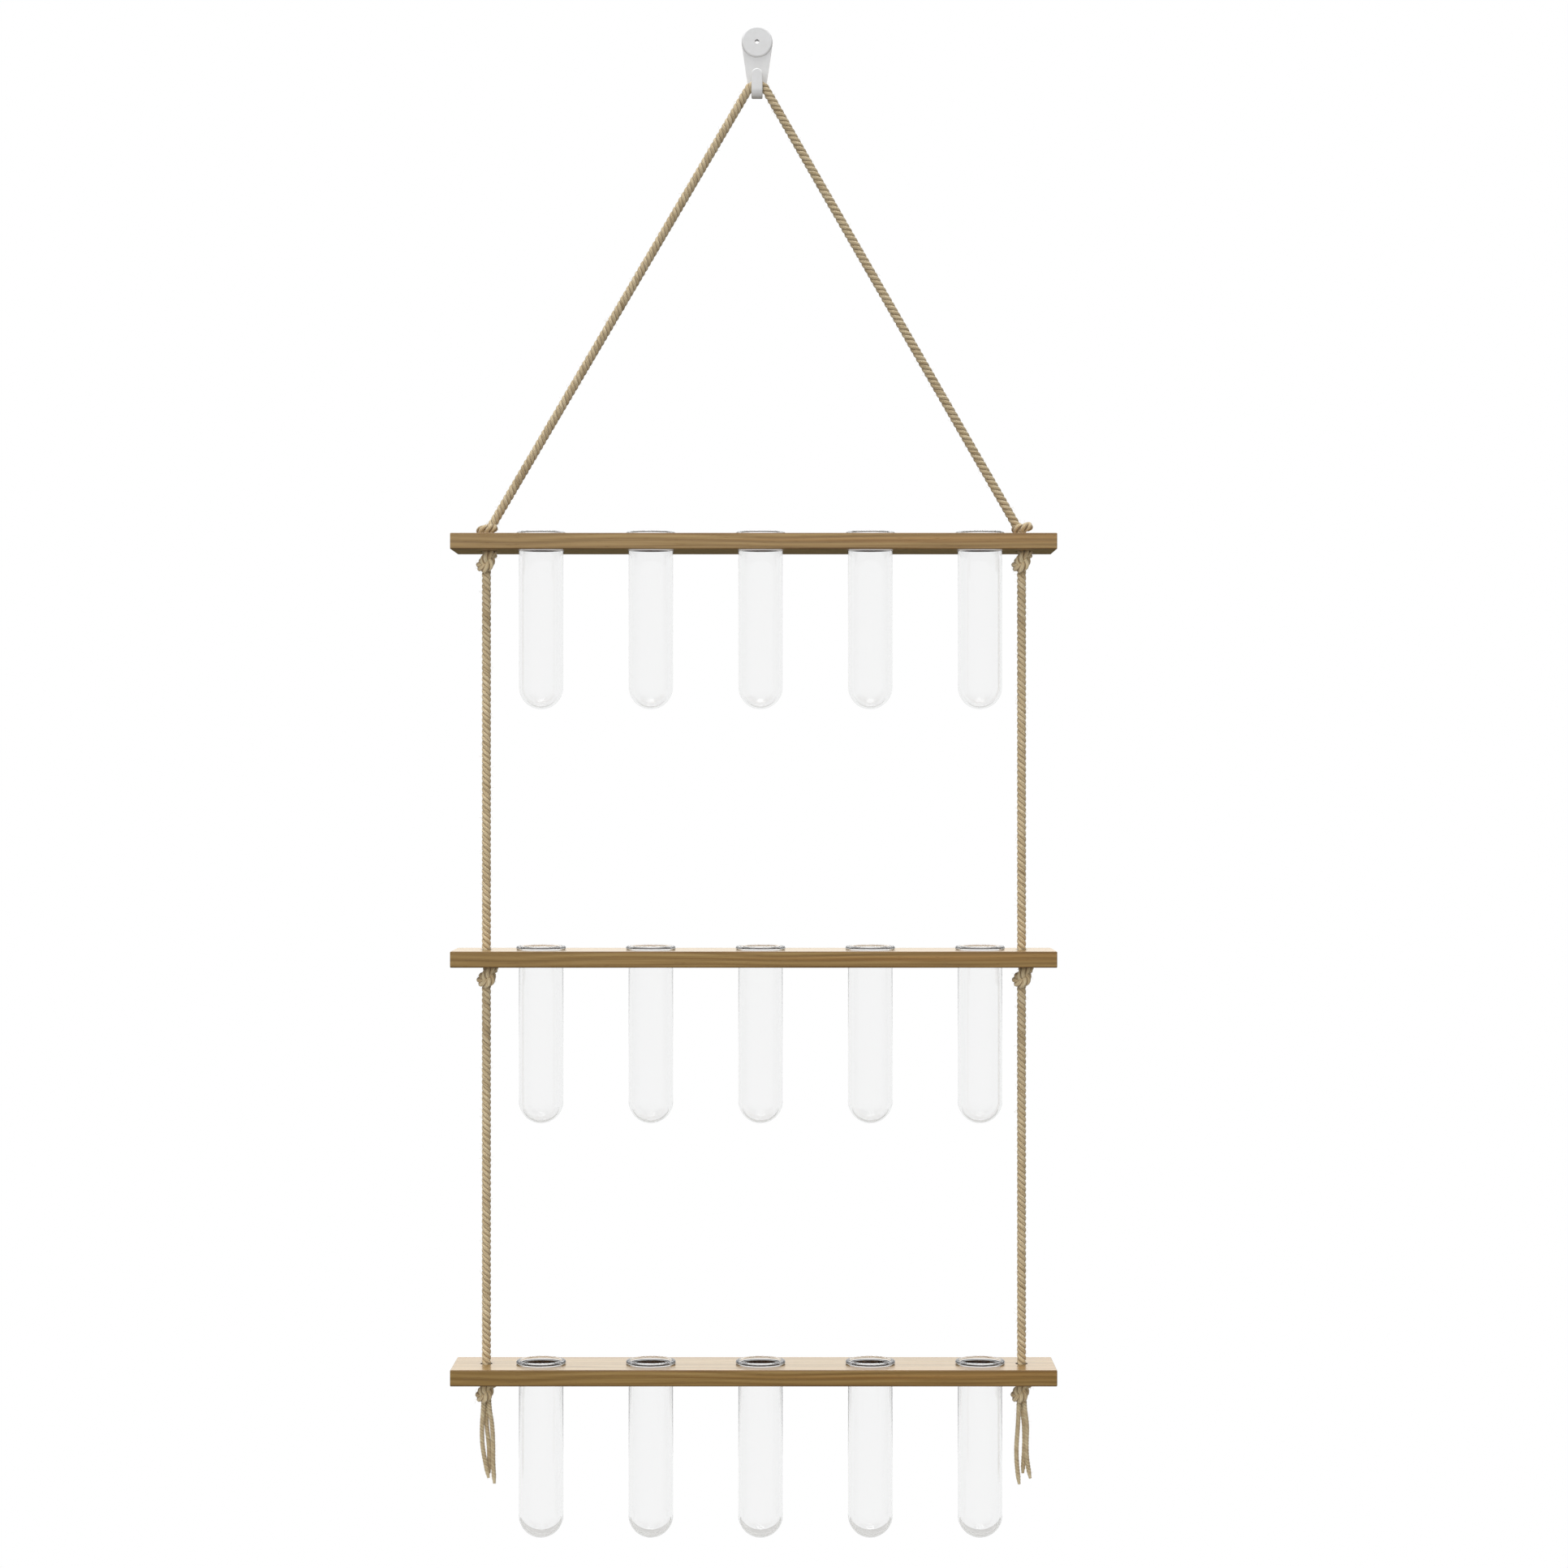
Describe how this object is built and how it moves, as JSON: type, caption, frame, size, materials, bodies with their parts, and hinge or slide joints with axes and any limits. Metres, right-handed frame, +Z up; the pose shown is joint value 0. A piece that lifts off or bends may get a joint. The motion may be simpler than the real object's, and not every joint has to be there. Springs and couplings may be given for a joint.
{
  "type": "hanging propagation vase",
  "caption": "Hanging propagation station: wooden bars strung in tiers on a knotted jute rope from a wall hook, each bar holding round-bottomed glass tubes for rooting cuttings.",
  "frame": {"origin": "on the axis of the hook's nail hole, at the wall", "axes": "+Z up, +X right seen from the front, +Y into the wall"},
  "size_m": [0.338, 0.045, 0.8545],
  "materials": {
    "hook_plastic": "semi-gloss moulded",
    "bar_wood": "oiled, straight grain",
    "tube_glass": "clear",
    "jute_rope": "natural three-strand jute"
  },
  "bodies": {
    "hook": {"wall_hook": "hook_plastic"},
    "top_tier": {"top_bar": "bar_wood", "hanging_rope": "jute_rope", "left_upper_knot": "jute_rope", "right_upper_knot": "jute_rope", "left_top_knot": "jute_rope", "right_top_knot": "jute_rope"},
    "middle_tier": {"middle_bar": "bar_wood", "left_middle_rope": "jute_rope", "right_middle_rope": "jute_rope", "left_middle_knot": "jute_rope", "right_middle_knot": "jute_rope"},
    "bottom_tier": {"bottom_bar": "bar_wood", "left_bottom_rope": "jute_rope", "right_bottom_rope": "jute_rope", "left_bottom_knot": "jute_rope", "right_bottom_knot": "jute_rope", "left_outer_strand": "jute_rope", "left_inner_strand": "jute_rope", "left_back_strand": "jute_rope", "right_outer_strand": "jute_rope", "right_inner_strand": "jute_rope", "right_back_strand": "jute_rope"},
    "top_tube_1": {"top_tube_1": "tube_glass"},
    "top_tube_2": {"top_tube_2": "tube_glass"},
    "top_tube_3": {"top_tube_3": "tube_glass"},
    "top_tube_4": {"top_tube_4": "tube_glass"},
    "top_tube_5": {"top_tube_5": "tube_glass"},
    "middle_tube_1": {"middle_tube_1": "tube_glass"},
    "middle_tube_2": {"middle_tube_2": "tube_glass"},
    "middle_tube_3": {"middle_tube_3": "tube_glass"},
    "middle_tube_4": {"middle_tube_4": "tube_glass"},
    "middle_tube_5": {"middle_tube_5": "tube_glass"},
    "bottom_tube_1": {"bottom_tube_1": "tube_glass"},
    "bottom_tube_2": {"bottom_tube_2": "tube_glass"},
    "bottom_tube_3": {"bottom_tube_3": "tube_glass"},
    "bottom_tube_4": {"bottom_tube_4": "tube_glass"},
    "bottom_tube_5": {"bottom_tube_5": "tube_glass"}
  },
  "joints": [
    {"name": "hanger_swing", "type": "hinge", "parent": "hook", "child": "top_tier", "pos_m": [0, -0.0073, -0.025], "axis": [-1, 0, 0], "range_deg": [0, 25]},
    {"name": "middle_swing", "type": "hinge", "parent": "top_tier", "child": "middle_tier", "pos_m": [-0.0016, -0.0225, -0.3019], "axis": [-1, 0, 0], "range_deg": [-20, 20]},
    {"name": "bottom_swing", "type": "hinge", "parent": "middle_tier", "child": "bottom_tier", "pos_m": [-0.0016, -0.0225, -0.5349], "axis": [-1, 0, 0], "range_deg": [-20, 20]},
    {"name": "top_tube_1_lift", "type": "slide", "parent": "top_tier", "child": "top_tube_1", "axis": [0, 0, 1], "range_m": [0, 0.019]},
    {"name": "top_tube_2_lift", "type": "slide", "parent": "top_tier", "child": "top_tube_2", "axis": [0, 0, 1], "range_m": [0, 0.1]},
    {"name": "top_tube_3_lift", "type": "slide", "parent": "top_tier", "child": "top_tube_3", "axis": [0, 0, 1], "range_m": [0, 0.1]},
    {"name": "top_tube_4_lift", "type": "slide", "parent": "top_tier", "child": "top_tube_4", "axis": [0, 0, 1], "range_m": [0, 0.1]},
    {"name": "top_tube_5_lift", "type": "slide", "parent": "top_tier", "child": "top_tube_5", "axis": [0, 0, 1], "range_m": [0, 0.007]},
    {"name": "middle_tube_1_lift", "type": "slide", "parent": "middle_tier", "child": "middle_tube_1", "axis": [0, 0, 1], "range_m": [0, 0.1]},
    {"name": "middle_tube_2_lift", "type": "slide", "parent": "middle_tier", "child": "middle_tube_2", "axis": [0, 0, 1], "range_m": [0, 0.1]},
    {"name": "middle_tube_3_lift", "type": "slide", "parent": "middle_tier", "child": "middle_tube_3", "axis": [0, 0, 1], "range_m": [0, 0.1]},
    {"name": "middle_tube_4_lift", "type": "slide", "parent": "middle_tier", "child": "middle_tube_4", "axis": [0, 0, 1], "range_m": [0, 0.1]},
    {"name": "middle_tube_5_lift", "type": "slide", "parent": "middle_tier", "child": "middle_tube_5", "axis": [0, 0, 1], "range_m": [0, 0.1]},
    {"name": "bottom_tube_1_lift", "type": "slide", "parent": "bottom_tier", "child": "bottom_tube_1", "axis": [0, 0, 1], "range_m": [0, 0.1]},
    {"name": "bottom_tube_2_lift", "type": "slide", "parent": "bottom_tier", "child": "bottom_tube_2", "axis": [0, 0, 1], "range_m": [0, 0.1]},
    {"name": "bottom_tube_3_lift", "type": "slide", "parent": "bottom_tier", "child": "bottom_tube_3", "axis": [0, 0, 1], "range_m": [0, 0.1]},
    {"name": "bottom_tube_4_lift", "type": "slide", "parent": "bottom_tier", "child": "bottom_tube_4", "axis": [0, 0, 1], "range_m": [0, 0.1]},
    {"name": "bottom_tube_5_lift", "type": "slide", "parent": "bottom_tier", "child": "bottom_tube_5", "axis": [0, 0, 1], "range_m": [0, 0.1]}
  ]
}
